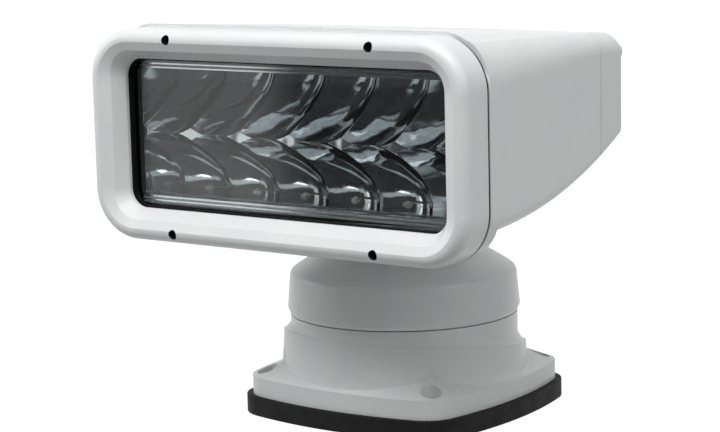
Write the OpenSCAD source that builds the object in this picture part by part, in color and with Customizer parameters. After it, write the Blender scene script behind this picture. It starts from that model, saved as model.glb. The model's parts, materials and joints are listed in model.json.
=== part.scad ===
// Marine searchlight: a lamp head with mirror cups that tilts on a neck,
// carried by a turret that pans on a square-footed base.
// The pan axis is Z, the underside of the rubber pad is z = 0 and the lens faces -Y.

/* [Head outline] */
// Width of the head across the bezel
head_w = 238.5; // [225:0.5:255]
// Height of the bezel
head_h = 111.5; // [108:0.5:116]
// Corner radius of the bezel seen from the front
head_corner_r = 27; // [24:1:30]
// From the pan axis forward to the front face
head_reach = 117.5; // [114:0.5:122]
// From the tilt axis up to the middle of the lens
head_rise = 45.7; // [44:0.1:49]

/* [Bezel] */
// Depth of the bezel from front to back
bezel_depth = 20; // [19:0.5:24]
// Rounding of the bezel's outer front edge
rim_fillet = 6; // [4.5:0.5:6.5]
// Width of the front rim, with its rounding
rim_w = 6.5; // [6.5:0.5:8]
// Angle at which the wide slope falls back from the rim
bowl_angle = 27; // [22:1:32]
// Angle at which the throat falls back to the window
throat_angle = 59; // [55:1:66]
// Width of the window
window_w = 203.4; // [200:0.1:205]
// Height of the window
window_h = 79.5; // [77:0.1:81]
// Corner radius of the window
window_r = 10; // [8:0.5:13]
// From the front face back to the window's edge
window_setback = 10.5; // [10:0.1:11.5]
// Thickness of the lip round the window
lip_t = 2; // [1.5:0.1:2.5]
// Distance between the screws along the rim
bezel_screw_pitch = 128.4; // [110:0.1:150]
// From the bezel's upper or lower edge in to the screws
bezel_screw_edge = 5; // [4.6:0.1:5.4]
// Radius of the pockets for the bezel screws
bezel_pocket_r = 2.6; // [2.4:0.1:2.8]

/* [Lens] */
// Thickness of the glass
lens_t = 4; // [3:0.5:5]
// How far the glass reaches under the lip on each side
lens_margin = 5; // [4:0.5:6]
// How far the rubber shows inside the window's edge
seal_show = 0.8; // [0.5:0.1:1.2]

/* [Reflectors] */
// Columns of half cups in each row
cup_columns = 6; // [4:1:6]
// Distance between the columns
cup_pitch = 32.65; // [31:0.05:33]
// From the lens middle to the axes of the cups, where the emitter boards lie
cup_axis = 34; // [33.4:0.1:34.2]
// Radius of a cup at its mouth
cup_r = 34.9; // [34.6:0.05:35.3]
// Focal length of a cup
cup_focus = 7.4; // [7.2:0.1:8]
// Wall behind the cups
cup_wall = 1.6; // [1:0.1:2.5]
// Thickness of the reflector's front rim
cup_rim_t = 1.5; // [1:0.1:2]

/* [Housing] */
// Thickness of the gasket behind the bezel
gasket_t = 2; // [1.5:0.1:3]
// Thickness of the flange that the bezel is screwed to
flange_t = 8; // [7:0.5:10]
// Wall of the housing
wall = 3.2; // [2.8:0.1:3.6]
// From the front face back to the rear cover's edge
cover_start = 138; // [134:1:144]
// From the front face back to the rear face
cover_end = 162; // [159:1:167]
// Draft of the sides towards the rear
side_draft = 3; // [2:0.1:4]
// Fall of the top towards the rear
top_fall = 4.2; // [3.4:0.1:4.6]
// How far the ribbed top stands above the flange
top_step = 1.8; // [1.4:0.1:3]
// Rounding along the top edges
top_edge_r = 12; // [10:1:16]
// Rounding of the rear face's upper edge
rear_top_r = 9; // [7:1:12]
// Rounding of the rear face's lower edge
rear_low_r = 10; // [7:1:13]
// How far the belly lies below the lens middle at the flange
belly_front = 40.5; // [40:0.1:42]
// How far the belly lies below the lens middle at the rear
belly_rear = 15.2; // [14:0.1:17]
// Radius of the belly's long curve
belly_r = 345; // [330:5:500]
// Rounding along the belly's edges
belly_edge_r = 8; // [5:0.5:12]
// Ribs along the top
rib_count = 9; // [5:2:9]
// Distance between the ribs
rib_pitch = 21.8; // [20:0.1:22]
// Depth of the valleys between the ribs
rib_depth = 2; // [1:0.1:2.4]
// Radius of the round plug in the rear cover
vent_r = 4.5; // [3.8:0.1:5]

/* [Tilt] */
// Height of the tilt axis
tilt_z = 111; // [109:0.5:112]
// Radius of the neck's rounded top
lug_r = 17.2; // [16.8:0.1:17.6]
// Width of the neck
lug_w = 46; // [42:1:48]
// Radius of the head's ears
ear_r = 14; // [12:0.5:15]
// Thickness of an ear
ear_t = 12; // [10:0.5:14]
// Radius of the tilt shaft
tilt_shaft_r = 6; // [5:0.5:6.5]
// Thickness of the washers beside the neck
tilt_washer_t = 1.2; // [1:0.1:2]
// Teeth of the tilt gear
tilt_gear_teeth = 20; // [18:2:20]
// Teeth of the tilt idler
tilt_idler_teeth = 16; // [14:2:16]
// Teeth of the tilt pinion
tilt_pinion_teeth = 12; // [12:1:13]
// Face width of the tilt gears
tilt_gear_w = 8; // [6:0.5:9]

/* [Turret] */
// Radius of the turret at its widest
turret_r = 63.8; // [63:0.1:66]
// Radius of the turret's lower rim
turret_rim_r = 62.4; // [61.6:0.1:63]
// Height of the turret's lower rim
turret_bottom = 53; // [52.6:0.1:54]
// Height of the turret's shoulder
turret_shoulder = 74; // [72:0.5:75]
// Radius of the turret's shoulder
turret_shoulder_r = 62.2; // [61:0.1:63]
// Rounding of the shoulder
turret_shoulder_round = 4; // [2:0.5:6]
// Slope of the roof
roof_angle = 31; // [29:0.5:33]
// Radius of the flat land under the neck
land_r = 41; // [40:0.5:43]
// Wall of the turret
turret_wall = 3.4; // [3:0.1:3.8]
// Thickness of the chassis plate
chassis_t = 3; // [2.5:0.1:3.2]

/* [Pan drive] */
// Teeth of the fixed pan gear
pan_gear_teeth = 40; // [38:1:42]
// Teeth of the pan pinion
pan_pinion_teeth = 14; // [13:1:16]
// Face width of the pan gear
pan_gear_w = 6.5; // [5:0.5:7]
// Module of all gears
gear_module = 1.25; // [1.2:0.01:1.27]
// Radius of the pan shaft
pan_shaft_r = 8; // [7:0.5:9]
// Radius of the cable way in the pan shaft
pan_bore_r = 5; // [4:0.5:5.5]
// Radius of the pan motor
pan_motor_r = 15; // [12:0.5:15.5]

/* [Base] */
// Distance between the bolt holes
bolt_pitch = 108; // [104:0.5:110]
// Radius of the bolt holes
bolt_hole_r = 3.25; // [2.75:0.25:3.5]
// Radius of the pockets for the bolt heads
bolt_pocket_r = 5.75; // [5:0.25:6.25]
// From the axis to a corner of the foot
foot_reach = 84.5; // [83:0.5:87]
// Corner radius of the foot
foot_corner_r = 19; // [17:0.5:21]
// From the axis to the middle of a side of the foot
foot_side = 70.5; // [70:0.5:72]
// Height of the foot's upright edge
foot_edge_h = 10.4; // [9:0.1:12]
// Angle of the foot's sloping top
foot_slope = 22; // [19:1:26]
// Radius of the round body at the foot
body_foot_r = 67.8; // [67:0.1:68.6]
// Radius of the round body at its shoulder
body_top_r = 65.4; // [65:0.1:66.2]
// Height of the shoulder on the axis
shoulder_z = 39; // [37:0.5:40]
// Rake of the shoulder, down towards the rear
shoulder_rake = 7; // [4:0.5:7.5]
// Height of the shoulder's slope
shoulder_h = 5; // [4:0.5:5.5]
// Wall of the base, deep enough for the bolts and bottom screws
base_wall = 12.6; // [12:0.1:13]
// Height of the deck that carries the turret
deck_z = 50; // [49.6:0.1:50.4]
// Thickness of the deck
deck_t = 4; // [3:0.5:5]
// Radius of the hollows that leave room for a bolt driver
driver_r = 17; // [16:0.5:18]

/* [Pad and bottom] */
// Thickness of the rubber pad
pad_t = 10; // [8:0.5:11]
// How far the pad stands out round the foot
pad_proud = 3.5; // [2:0.5:4]
// Radius of the pad's hole for the cable gland
pad_hole_r = 11; // [10:0.5:11.5]
// Thickness of the bottom plate
bottom_t = 3; // [2.5:0.1:4]
// Radius of the bottom plate
bottom_r = 57; // [55:0.5:58]

/* [Clearances] */
// Gap between pieces that are put together by hand
fit_gap = 0.15; // [0.1:0.01:0.2]
// Radial clearance of the turning shafts
run_gap = 0.05; // [0.03:0.01:0.08]
// Gap between pieces that move past each other
air_gap = 0.6; // [0.5:0.05:0.7]
// Thinning of each gear tooth
tooth_gap = 0.3; // [0.25:0.01:0.35]

/* [Hidden] */
$fn = 96;
fine = 720;
far = 400;
cut = 0.5;

head_z = tilt_z + head_rise;
corner_x = head_w / 2 - head_corner_r;
corner_z = head_h / 2 - head_corner_r;
lens_w = window_w + 2 * lens_margin;
lens_h = window_h + 2 * lens_margin;
lens_r = window_r + lens_margin;
lens_front = bezel_depth - lens_t;
seal_back = window_setback + lip_t;
bezel_screw_z = head_h / 2 - bezel_screw_edge;
bezel_screw_r = 1.5;
bezel_head_r = 2.3;
bezel_head_h = 3;
bezel_head_seat = bezel_depth - 6;
flange_front = bezel_depth + gasket_t;
flange_back = flange_front + flange_t;
gasket_lap = 2.2;
gasket_in = 0.6;

cup_front = bezel_depth + 1;
cup_depth = cup_r * cup_r / (4 * cup_focus);
cup_back = cup_front + cup_depth;
cup_steps = 12;
reflector_w = cup_columns * cup_pitch + 3;
rim_step_h = 1;
rim_step_out = 0.6;
board_t = 1;
board_front = flange_back;
board_back = cup_back - cup_focus + 5;
emitter_d = cup_back - cup_focus;
emitter_r = 2.6;
emitter_t = 0.8;
dome_r = 2.2;
dome_tip_r = 1;
dome_h = 1;
sink_t = 4;
sink_w = 2 * (head_w / 2 - 12.5);
sink_front = flange_back + 1;
sink_back = 112;
sink_z = cup_axis + board_t;
fin_count = 11;
fin_pitch = 17;
fin_t = 2.6;
fin_h = 5.5;
shelf_in = 5;
shelf_h = 6;
driver_t = 1.6;
driver_gap = 6;
driver_w = 150;
driver_front = cup_back + cup_wall + 6;
driver_back = sink_back - 4;
driver_part_h = 12;
driver_part_w = 22;
driver_part_pitch = 46;
driver_edge = 6;
driver_post_r = 2.6;

top_z = head_h / 2 + top_step;
side_x = head_w / 2 - 0.5;
belly_a = [flange_back, -belly_front];
belly_b = [cover_end - rear_low_r, -belly_rear];
belly_mid = (belly_a + belly_b) / 2;
belly_half = norm(belly_b - belly_a) / 2;
belly_dir = (belly_b - belly_a) / norm(belly_b - belly_a);
belly_c = belly_mid + sqrt(belly_r * belly_r - belly_half * belly_half) * [-belly_dir[1], belly_dir[0]];
rib_r = (rib_pitch * rib_pitch / 4 + rib_depth * rib_depth) / (2 * rib_depth);
rear_screw_r = 1.8;
rear_head_r = 3.2;
rear_head_h = 2.4;
rear_boss_r = 5;
rear_boss_len = 24;
rear_grip = 14;
rear_screw_x = 60;
rear_screw_high = 31;
rear_screw_out = side_x - 16;
rear_screw_low = 10;
vent_h = 9;
vent_shoulder = 1;
vent_bore_r = vent_r - 1.5;
seam_w = 1.2;
seam_in = 0.8;
rear_head_sink = 2;
rear_tap_r = 1.5;
vent_seat = 2;
vent_x = 103;
vent_z = 36.5;

tilt_gear_r = gear_module * tilt_gear_teeth / 2;
tilt_idler_z = tilt_z - gear_module * (tilt_gear_teeth + tilt_idler_teeth) / 2;
tilt_pinion_z = tilt_idler_z - gear_module * (tilt_idler_teeth + tilt_pinion_teeth) / 2;
slot_w = tilt_gear_w + 2;
slot_r = tilt_gear_r + gear_module + 1;
ear_in = lug_w / 2 + tilt_washer_t + 0.1;
ear_out = ear_in + ear_t;
tilt_bush_wall = 2;
tilt_bush_len = 12;
tilt_washer_in = 3;
tilt_shaft_wall = 2.5;
tilt_shaft_in = 3;
cap_lap = 2;
cap_t = 1.6;
idler_pin_r = 3;
idler_pin_len = 26;
pinion_shaft_r = 2;

turret_rim_h = 3;
shoulder_curve = [[-0.2, 0.45], [-0.7, 0.85]];
roof_edge_z = turret_shoulder + 0.6 * turret_shoulder_round;
land_z = roof_edge_z + (turret_shoulder_r - land_r) * tan(roof_angle);
neck_flange_r = land_r - 3;
neck_flange_t = 4.5;
spigot_r = 21.5;
spigot_h = 8;
neck_screw_ring = 32;
neck_screw_r = 2;
neck_tap_r = 1.6;
neck_tap_depth = 10;
neck_head_r = 3.5;
neck_head_h = 1.8;
neck_head_sink = 2;

pan_gear_r = gear_module * pan_gear_teeth / 2;
pan_pinion_r = gear_module * pan_pinion_teeth / 2;
pan_centre = pan_gear_r + pan_pinion_r;
hub_r = pan_gear_r - 8.7;
hub_top = deck_z + 2;
hub_bottom = deck_z - 12;
bush_wall = 3;
bush_flange_t = 1.5;
bush_flange_r = pan_shaft_r + 5.5;
washer_t = 1.2;
washer_gap = 0.3;
shaft_tail = 8;
motor_end = 3;
pinion_grip = 8;
tilt_pinion_grip = 10;
collar_z = hub_top + bush_flange_t + washer_t;
collar_r = 12;
chassis_z = deck_z + pan_gear_w + 1.7;
chassis_top = chassis_z + chassis_t;
chassis_r = turret_rim_r - turret_wall - 0.5;
ledge_w = 5;
ledge_h = 3;
ledge_rise = 2;
dome_in = 0.6;
seal_w = 2.25;
seal_h = 2.4;
chassis_screw_in = 2.4;
chassis_head_r = 2.4;
chassis_head_h = 1.2;
pinion_room = 1.5;
nut_t = 5;
nut_r = 13;
pan_motor_h = 15;
tilt_motor_r = 8.5;
tilt_motor_len = 30;
bracket_t = 2.5;
bracket_w = 20;
bracket_foot = 26;
motor_face = slot_w / 2 + bracket_t;
pinion_turn = pan_gear_teeth % 4 == 0 ? 1 : 0;

body_foot_z = pad_t + foot_edge_h;
foot_c = (foot_reach - foot_corner_r) / sqrt(2);
bow_k = foot_c - foot_side;
bow_r = (foot_corner_r * foot_corner_r - bow_k * bow_k - foot_c * foot_c) / (2 * (bow_k + foot_corner_r));
bow_half = atan2(foot_c, foot_c - foot_side + bow_r);
ramp_in = 18;
ramp_h = ramp_in * tan(foot_slope);
ramp_ledge = 0.3;
ramp_sink = 0.1;
ramp_root = 6;
ramp_corner_steps = 6;
ramp_side_steps = 8;
bolt_seat_z = pad_t + 6;
driver_out = 6;
driver_draw = 3;
driver_h = 37;
base_neck_r = turret_rim_r;
base_neck_top = turret_bottom - air_gap;
cavity_r = body_top_r - base_wall;
body_flare = 0.6;
body_over = 6;
shoulder_under = 4;
shoulder_lap = 0.4;
bow_lap = 14;
low_stop = 14;
deck_rim_w = 3;
small_screw_r = 1.5;
small_hole_r = 1.7;
bottom_screw_in = 2.6;
bottom_screw_len = 10;
control_post = [30, 24, 5];
control_post_r = 3;
control_size = [76, 26];
control_y = 12;
control_parts = [[-24, 18, 16, 12, 3], [6, 17, 22, 15, 6]];
seal_r = turret_rim_r - turret_wall;
gland_r = 8;
gland_bore_r = 3.5;
gland_h = 7;
gland_neck_r = 6;
gland_nut_r = 7.6;
gland_nut_t = 4;

// Shapes used by several pieces

// Rounded rectangle about the origin
module rounded_rect(w, h, r) {
    square([w - 2 * r, h], center = true);
    square([w, h - 2 * r], center = true);
    for (sx = [-1, 1], sy = [-1, 1])
        translate([sx * (w / 2 - r), sy * (h / 2 - r)])
            circle(r);
}

// Moves its children from the head's own frame, where y is depth behind the front face
module in_head() {
    translate([0, -head_reach, head_z])
        children();
}

// Extrudes a front view from one depth to another
module along_depth(d0, d1) {
    translate([0, d1, 0])
        rotate([90, 0, 0])
            linear_extrude(height = d1 - d0)
                children();
}

// Extrudes a side view, drawn as depth and height, across a width
module across(w) {
    translate([-w / 2, 0, 0])
        rotate([90, 0, 90])
            linear_extrude(height = w)
                children();
}

// Round bar along the depth
module depth_bar(x, z, r, d0, d1) {
    translate([x, d0, z])
        rotate([-90, 0, 0])
            cylinder(r = r, h = d1 - d0);
}

// Round bar across the width at a point of the side view
module cross_bar(y, z, r, x0, x1) {
    translate([x0, y, z])
        rotate([0, 90, 0])
            cylinder(r = r, h = x1 - x0);
}

// Block with rounded corners that narrows from the front to the back on all sides alike
module tapered_block(w, h, r, grow, d0, d1) {
    x = w / 2 - r;
    z = h / 2 - r;
    across(2 * x)
        polygon([[d0, -h / 2 - grow], [d0, h / 2 + grow], [d1, h / 2], [d1, -h / 2]]);
    translate([0, 0, -z])
        linear_extrude(height = 2 * z)
            polygon([[-w / 2 - grow, d0], [w / 2 + grow, d0], [w / 2, d1], [-w / 2, d1]]);
    for (sx = [-1, 1], sz = [-1, 1])
        translate([sx * x, d0, sz * z])
            rotate([-90, 0, 0])
                cylinder(r1 = r + grow, r2 = r, h = d1 - d0);
}

// Outline of the bezel, gasket and flange
module head_outline() {
    rounded_rect(head_w, head_h, head_corner_r);
}

// Places its children at the four bezel screws
module at_bezel_screws() {
    for (sx = [-1, 1], sz = [-1, 1])
        translate([sx * bezel_screw_pitch / 2, 0, sz * bezel_screw_z])
            children();
}

// Height of the top, drawn in by an inset and on the inside also by the ribs' depth
function top_drop(inset) = inset > wall / 2 ? inset + rib_depth : inset;
function top_at(d, inset) = top_z - top_drop(inset) / cos(top_fall) - (d - flange_back) * tan(top_fall);

// Side view of the housing without its belly, drawn in by an inset
module side_view(inset) {
    rear = cover_end - inset;
    low_r = rear_low_r - inset;
    high_r = rear_top_r - inset;
    reach = belly_r - inset;
    low = [rear - low_r, belly_c[1] - sqrt(pow(reach - low_r, 2) - pow(rear - low_r - belly_c[0], 2))];
    high = [rear - high_r, top_at(rear - high_r, inset) - high_r / cos(top_fall)];
    steps = 7;
    low_turn = 90 - atan2(rear - low_r - belly_c[0], belly_c[1] - low[1]) - low_stop;
    polygon(concat([[0, -far / 4], [low[0], -far / 4]],
        [for (k = [steps:-1:0])
            let (a = -low_turn * k / steps)
            low + low_r * [cos(a), sin(a)]],
        [for (k = [0:steps])
            let (a = (90 - top_fall) * k / steps)
            high + high_r * [cos(a), sin(a)]],
        [[0, top_at(0, inset)]]));
}

// Right flank of the housing with the top's and the belly's rounded edges, drawn in by an inset
module flank(inset) {
    intersection() {
        translate([side_x - inset, flange_back, top_z - top_drop(inset)])
            rotate([-top_fall, 0, side_draft])
                along_depth(-far / 2, far)
                    rounded_quarter(far, top_edge_r - inset);
        translate([side_x - inset, flange_back, 0])
            rotate([0, 0, side_draft])
                translate([0, belly_c[0] - flange_back, belly_c[1]])
                    rotate([0, 90, 0])
                        rotate_extrude($fn = fine)
                            intersection() {
                                translate([belly_r - inset, 0])
                                    rounded_quarter(2 * far, belly_edge_r - inset);
                                translate([0, -far])
                                    square([2 * far, 2 * far]);
                            }
    }
}

// Lower left quarter of the plane with its corner at the origin rounded
module rounded_quarter(size, r) {
    translate([-size, -size])
        square([size, size - r]);
    translate([-size, -size])
        square([size - r, size]);
    translate([-r, -r])
        circle(r);
}

// Main form of the housing and its rear cover between two depths
module head_form(inset, d0, d1) {
    intersection() {
        across(far)
            side_view(inset);
        flank(inset);
        mirror([1, 0, 0])
            flank(inset);
        along_depth(d0, d1)
            square(far, center = true);
    }
}

// Places its children at the rear cover's screws
module at_rear_screws() {
    for (sx = [-1, 1]) {
        translate([sx * rear_screw_x, 0, rear_screw_high])
            children();
        translate([sx * rear_screw_out, 0, rear_screw_low])
            children();
    }
}

// Bowed square of the foot between two heights, grown on all sides
module bowed_block(z0, z1, grow) {
    translate([0, 0, z0]) {
        translate([0, 0, (z1 - z0) / 2])
            cube([2 * foot_c, 2 * foot_c, z1 - z0], center = true);
        for (a = [0:90:270])
            rotate(a) {
                translate([foot_c, foot_c, 0])
                    rotate(bow_half)
                        rotate_extrude(angle = 90 - 2 * bow_half)
                            square([foot_corner_r + grow, z1 - z0]);
                translate([foot_side - bow_r, 0, 0])
                    rotate(-bow_half)
                        rotate_extrude(angle = 2 * bow_half, $fn = fine)
                            translate([bow_r - foot_corner_r - bow_lap, 0])
                                square([foot_corner_r + bow_lap + grow, z1 - z0]);
            }
    }
}

// Places its children at the four bolt holes
module at_bolts() {
    for (sx = [-1, 1], sy = [-1, 1])
        translate([sx * bolt_pitch / 2, sy * bolt_pitch / 2, 0])
            children();
}

// Involute of the base circle, as the angle turned at a radius
function roll(base, r) = tan(acos(base / r)) * 180 / PI - acos(base / r);

// Spur gear outline with a tooth on the +X axis
module gear_outline(teeth) {
    pitch_r = gear_module * teeth / 2;
    base = pitch_r * cos(20);
    tip = pitch_r + 0.9 * gear_module;
    root = pitch_r - 1.3 * gear_module;
    start = max(base, root);
    half = 90 / teeth - tooth_gap / 2 / pitch_r * 180 / PI + roll(base, pitch_r);
    steps = 4;
    flank_r = [for (k = [0:steps]) start + (tip - start) * k / steps];
    polygon([
        for (t = [0:teeth - 1])
            for (p = concat(
                [[root, -half + roll(base, start)]],
                [for (r = flank_r) [r, -half + roll(base, r)]],
                [for (k = [steps:-1:0]) [flank_r[k], half - roll(base, flank_r[k])]],
                [[root, half - roll(base, start)]]))
                p[0] * [cos(p[1] + 360 * t / teeth), sin(p[1] + 360 * t / teeth)]
    ]);
}

// Socket-head screw with its head's underside at the origin and its shank down -Z
module socket_screw(r, len, head_r, head_h) {
    translate([0, 0, -len])
        cylinder(r = r, h = len);
    difference() {
        cylinder(r = head_r, h = head_h);
        translate([0, 0, head_h / 2])
            cylinder(r = head_r * 0.55, h = head_h, $fn = 6);
    }
}

// Base

module base_shell() {
    color("whitesmoke")
        difference() {
            union() {
                bowed_block(pad_t, body_foot_z, 0);
                foot_ramp();
                difference() {
                    raked_body();
                    for (a = [45:90:315])
                        driver_hollow(a);
                }
                translate([0, 0, pad_t + bottom_t])
                    cylinder(r = base_neck_r, h = base_neck_top - pad_t - bottom_t);
                translate([0, 0, deck_z])
                    cylinder(r = hub_r, h = hub_top - deck_z);
            }
            translate([0, 0, -cut])
                cylinder(r = bottom_r + fit_gap, h = pad_t + bottom_t + cut);
            base_cavity();
            translate([0, 0, deck_z])
                difference() {
                    cylinder(r = seal_r - deck_rim_w, h = far);
                    translate([0, 0, -cut])
                        cylinder(r = hub_r, h = hub_top - deck_z + cut);
                }
            cylinder(r = pan_shaft_r + run_gap + bush_wall, h = far);
            at_bolts() {
                cylinder(r = bolt_hole_r, h = far);
                translate([0, 0, bolt_seat_z])
                    cylinder(r = bolt_pocket_r, h = far);
            }
            at_bottom_screws()
                cylinder(r = small_screw_r, h = pad_t + bottom_screw_len + 1);
        }
}

// Round body, cut off by the raked shoulder
module raked_body() {
    intersection() {
        translate([0, 0, pad_t])
            cylinder(r1 = body_foot_r + body_flare, r2 = body_top_r, h = deck_z - pad_t + body_over);
        translate([0, 0, shoulder_z])
            rotate([-shoulder_rake, 0, 0])
                rotate_extrude()
                    polygon([[0, -far / 4], [far / 4, -far / 4], [far / 4, -shoulder_under],
                        [body_top_r, 0], [base_neck_r - shoulder_lap, shoulder_h], [0, shoulder_h]]);
    }
}

// Points of the foot's outline at one height, moved out by grow
function turned(p, a) = [p.x * cos(a) - p.y * sin(a), p.x * sin(a) + p.y * cos(a)];
function foot_ring(grow, z) = [
    for (q = [0:90:270])
        each concat(
            [for (k = [0:ramp_corner_steps])
                let (a = bow_half + (90 - 2 * bow_half) * k / ramp_corner_steps)
                concat(turned([foot_c + (foot_corner_r + grow) * cos(a),
                    foot_c + (foot_corner_r + grow) * sin(a)], q), z)],
            [for (k = [1:ramp_side_steps - 1])
                let (a = -bow_half + 2 * bow_half * k / ramp_side_steps)
                concat(turned([foot_side - bow_r + (bow_r + grow) * cos(a),
                    (bow_r + grow) * sin(a)], q + 90), z)])];

// Slope from the foot's edge up to the body
module foot_ramp() {
    rings = [
        foot_ring(-ramp_root, pad_t + bottom_t),
        foot_ring(-ramp_ledge, body_foot_z - ramp_sink),
        foot_ring(-ramp_in, body_foot_z + ramp_h)];
    n = len(rings[0]);
    polyhedron(
        points = [for (r = rings) each r],
        faces = concat(
            [[for (k = [0:n - 1]) k]],
            [[for (k = [n - 1:-1:0]) 2 * n + k]],
            [for (r = [0, 1], k = [0:n - 1])
                [r * n + k, (r + 1) * n + k, (r + 1) * n + (k + 1) % n, r * n + (k + 1) % n]]));
}

// Hollow above a bolt hole, fading out up the body
module driver_hollow(a) {
    rotate(a)
        translate([bolt_pitch / sqrt(2) + driver_out, 0, pad_t - cut])
            cylinder(r1 = driver_r + driver_draw, r2 = driver_r - driver_draw, h = driver_h);
}

// Room inside the base, with the hub hanging into it from the deck
module base_cavity() {
    difference() {
        translate([0, 0, pad_t + bottom_t])
            cylinder(r = cavity_r, h = deck_z - deck_t - pad_t - bottom_t);
        translate([0, 0, hub_bottom])
            cylinder(r = hub_r, h = far);
    }
}

module mounting_pad() {
    color("#1d1e20")
        difference() {
            bowed_block(0, pad_t, pad_proud);
            translate([0, 0, -cut])
                cylinder(r = pad_hole_r, h = pad_t + 2 * cut);
            at_bolts()
                translate([0, 0, -cut])
                    cylinder(r = bolt_hole_r, h = pad_t + 2 * cut);
        }
}

// Places its children at the bottom plate's screws
module at_bottom_screws() {
    for (a = [0:90:270])
        rotate(a)
            translate([bottom_r - bottom_screw_in, 0, 0])
                children();
}

module bottom_plate() {
    color("silver")
        translate([0, 0, pad_t])
            difference() {
                cylinder(r = bottom_r, h = bottom_t);
                translate([0, 0, -cut])
                    cylinder(r = gland_neck_r, h = bottom_t + 2 * cut);
                at_bottom_screws()
                    translate([0, 0, -cut])
                        cylinder(r = small_hole_r, h = bottom_t + 2 * cut);
            }
}

module bottom_screws() {
    color("gainsboro")
        at_bottom_screws()
            translate([0, 0, pad_t + fit_gap])
                cylinder(r = small_screw_r - run_gap, h = bottom_screw_len);
}

module cable_gland() {
    color("#26272a")
        difference() {
            union() {
                translate([0, 0, pad_t - gland_h])
                    cylinder(r = gland_r, h = gland_h, $fn = 6);
                translate([0, 0, pad_t])
                    cylinder(r = gland_neck_r - run_gap, h = bottom_t);
                translate([0, 0, pad_t + bottom_t])
                    cylinder(r = gland_nut_r, h = gland_nut_t, $fn = 6);
            }
            translate([0, 0, pad_t - gland_h - cut])
                cylinder(r = gland_bore_r, h = far);
        }
}

module control_board() {
    color("seagreen")
        translate([0, 0, pad_t + bottom_t]) {
            for (sx = [-1, 1])
                translate([sx * control_post[0], control_post[1], 0])
                    cylinder(r = control_post_r, h = control_post[2]);
            translate([-control_size[0] / 2, control_y, control_post[2]])
                cube([control_size[0], control_size[1], board_t]);
            for (p = control_parts)
                translate([p[0], p[1], control_post[2] + board_t])
                    cube([p[2], p[3], p[4]]);
        }
}

module pan_bush() {
    color("tan")
        difference() {
            union() {
                translate([0, 0, hub_bottom])
                    cylinder(r = pan_shaft_r + run_gap + bush_wall, h = hub_top - hub_bottom);
                translate([0, 0, hub_top])
                    cylinder(r = bush_flange_r, h = bush_flange_t);
            }
            translate([0, 0, hub_bottom - cut])
                cylinder(r = pan_shaft_r + run_gap, h = far);
        }
}

module thrust_washer() {
    color("ivory")
        translate([0, 0, hub_top + bush_flange_t])
            difference() {
                cylinder(r = bush_flange_r, h = washer_t);
                translate([0, 0, -cut])
                    cylinder(r = pan_shaft_r + washer_gap, h = washer_t + 2 * cut);
            }
}

module pan_gear() {
    color("ivory")
        translate([0, 0, deck_z])
            linear_extrude(height = pan_gear_w)
                difference() {
                    gear_outline(pan_gear_teeth);
                    circle(hub_r + fit_gap);
                }
}

// Turret

// Outside of the turret as radius and height
module turret_section() {
    polygon(concat(
        [[0, turret_bottom], [turret_rim_r, turret_bottom], [turret_r, turret_bottom + turret_rim_h],
            [turret_shoulder_r, turret_shoulder]],
        [for (p = shoulder_curve)
            [turret_shoulder_r, turret_shoulder] + turret_shoulder_round * p],
        [[land_r, land_z], [0, land_z]]));
}

module turret_shell() {
    color("whitesmoke")
        difference() {
            rotate_extrude()
                turret_section();
            rotate_extrude()
                turret_cavity();
            translate([0, 0, land_z - far / 8])
                cylinder(r = spigot_r + fit_gap, h = far);
            at_neck_screws()
                translate([0, 0, -neck_tap_depth])
                    cylinder(r = neck_tap_r, h = far);
            at_chassis_screws()
                cylinder(r = small_screw_r, h = chassis_top + ledge_h - cut);
        }
}

// Room inside the turret: plate seat, ledge and dome
module turret_cavity() {
    inner = turret_rim_r - turret_wall;
    polygon([[0, turret_bottom - cut], [inner, turret_bottom - cut], [inner, chassis_top],
        [inner - ledge_w, chassis_top], [inner - ledge_w, chassis_top + ledge_h],
        [inner, chassis_top + ledge_h + ledge_rise], [inner - dome_in, turret_shoulder],
        [land_r, land_z - turret_wall], [0, land_z - turret_wall]]);
}

module turret_seal() {
    color("#222326")
        translate([0, 0, turret_bottom])
            difference() {
                cylinder(r = seal_r - fit_gap, h = seal_h);
                translate([0, 0, -cut])
                    cylinder(r = seal_r - fit_gap - seal_w, h = seal_h + 2 * cut);
            }
}

// Places its children at the chassis plate's screws
module at_chassis_screws() {
    for (a = [30:120:270])
        rotate(a)
            translate([chassis_r - chassis_screw_in, 0, 0])
                children();
}

module chassis_plate() {
    color("lightsteelblue")
        translate([0, 0, chassis_z])
            difference() {
                cylinder(r = chassis_r, h = chassis_t);
                translate([0, 0, -cut])
                    cylinder(r = pan_bore_r, h = chassis_t + 2 * cut);
                translate([0, pan_centre, -cut])
                    cylinder(r = pinion_shaft_r + pinion_room, h = chassis_t + 2 * cut);
                at_chassis_screws()
                    translate([0, 0, -cut])
                        cylinder(r = small_hole_r, h = chassis_t + 2 * cut);
            }
}

module chassis_screws() {
    color("gainsboro")
        at_chassis_screws()
            translate([0, 0, chassis_z])
                rotate([180, 0, 0])
                    socket_screw(small_screw_r - run_gap, chassis_t + ledge_h - 2 * cut,
                        chassis_head_r, chassis_head_h);
}

module pan_shaft() {
    color("gainsboro")
        difference() {
            union() {
                translate([0, 0, hub_bottom - shaft_tail])
                    cylinder(r = pan_shaft_r, h = collar_z - hub_bottom + shaft_tail);
                translate([0, 0, collar_z])
                    cylinder(r = collar_r, h = chassis_z - collar_z);
            }
            cylinder(r = pan_bore_r, h = far);
        }
}

module pan_nut() {
    color("gainsboro")
        translate([0, 0, hub_bottom - washer_gap - nut_t])
            difference() {
                cylinder(r = nut_r, h = nut_t, $fn = 6);
                translate([0, 0, -cut])
                    cylinder(r = pan_shaft_r, h = nut_t + 2 * cut);
            }
}

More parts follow.
